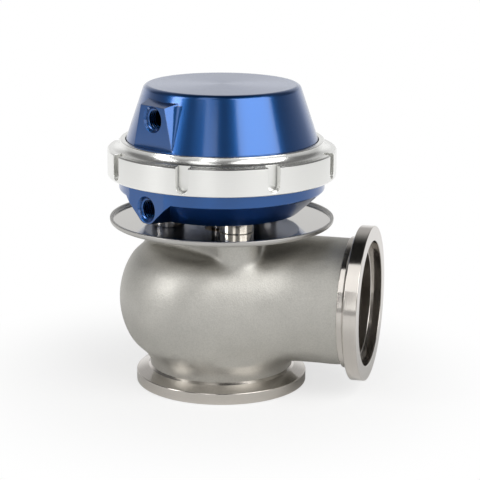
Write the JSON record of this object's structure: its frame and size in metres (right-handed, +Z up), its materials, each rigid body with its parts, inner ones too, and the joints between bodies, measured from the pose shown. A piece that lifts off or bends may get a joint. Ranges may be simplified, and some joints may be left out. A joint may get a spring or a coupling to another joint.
{
  "type": "turbo wastegate",
  "caption": "External exhaust wastegate: cast body with V-band flanges, poppet valve, and a round diaphragm actuator held by a slotted ring nut.",
  "frame": {"origin": "centre of the inlet flange's face", "axes": "+Z up the valve's axis, from the inlet to the cap; +X out of the outlet"},
  "size_m": [0.0987, 0.084, 0.1122],
  "materials": {
    "cast_stainless": "bead-blasted casting, machined flanges",
    "machined_steel": "turned",
    "polished_steel": "polished",
    "screw_steel": "black oxide",
    "spring_steel": "oiled wire",
    "bronze": "turned",
    "blue_aluminium": "blue anodised, turned",
    "bright_aluminium": "bright, satin sides",
    "plain_aluminium": "turned",
    "diaphragm_rubber": "moulded",
    "seal_plastic": "matte"
  },
  "bodies": {
    "body": {"valve_body": "cast_stainless", "valve_seat_ring": "machined_steel", "valve_guide": "bronze", "heat_shield": "polished_steel", "standoffs": "machined_steel", "body_screws": "screw_steel", "screw_washers": "machined_steel", "lower_housing": "blue_aluminium", "stem_bush": "bronze", "stem_seal": "seal_plastic", "seal_clip": "screw_steel", "housing_plug": "screw_steel", "diaphragm": "diaphragm_rubber"},
    "valve_train": {"valve": "machined_steel", "diaphragm_washer": "plain_aluminium", "piston": "plain_aluminium", "stem_washer": "machined_steel", "stem_nut": "screw_steel"},
    "cap": {"top_cap": "blue_aluminium", "outer_spring": "spring_steel", "middle_spring": "spring_steel", "inner_spring": "spring_steel"},
    "collar": {"locking_collar": "bright_aluminium"}
  },
  "joints": [
    {"name": "valve_lift", "type": "slide", "parent": "body", "child": "valve_train", "axis": [0, 0, 1], "range_m": [0, 0.01], "stiffness_N_per_m": 8000, "springref_m": -0.01, "deforming": ["outer_spring", "middle_spring", "inner_spring", "diaphragm"]},
    {"name": "cap_lift", "type": "slide", "parent": "body", "child": "cap", "axis": [0, 0, 1], "range_m": [0, 0.0053]},
    {"name": "collar_unscrew", "type": "hinge", "parent": "cap", "child": "collar", "pos_m": [0, 0, 0.0839], "axis": [0, 0, 1], "range_deg": [0, 1260]}
  ],
  "couplings": [
    {"joint": "cap_lift", "follows": "collar_unscrew", "m_per_rad": 0.00023873}
  ]
}
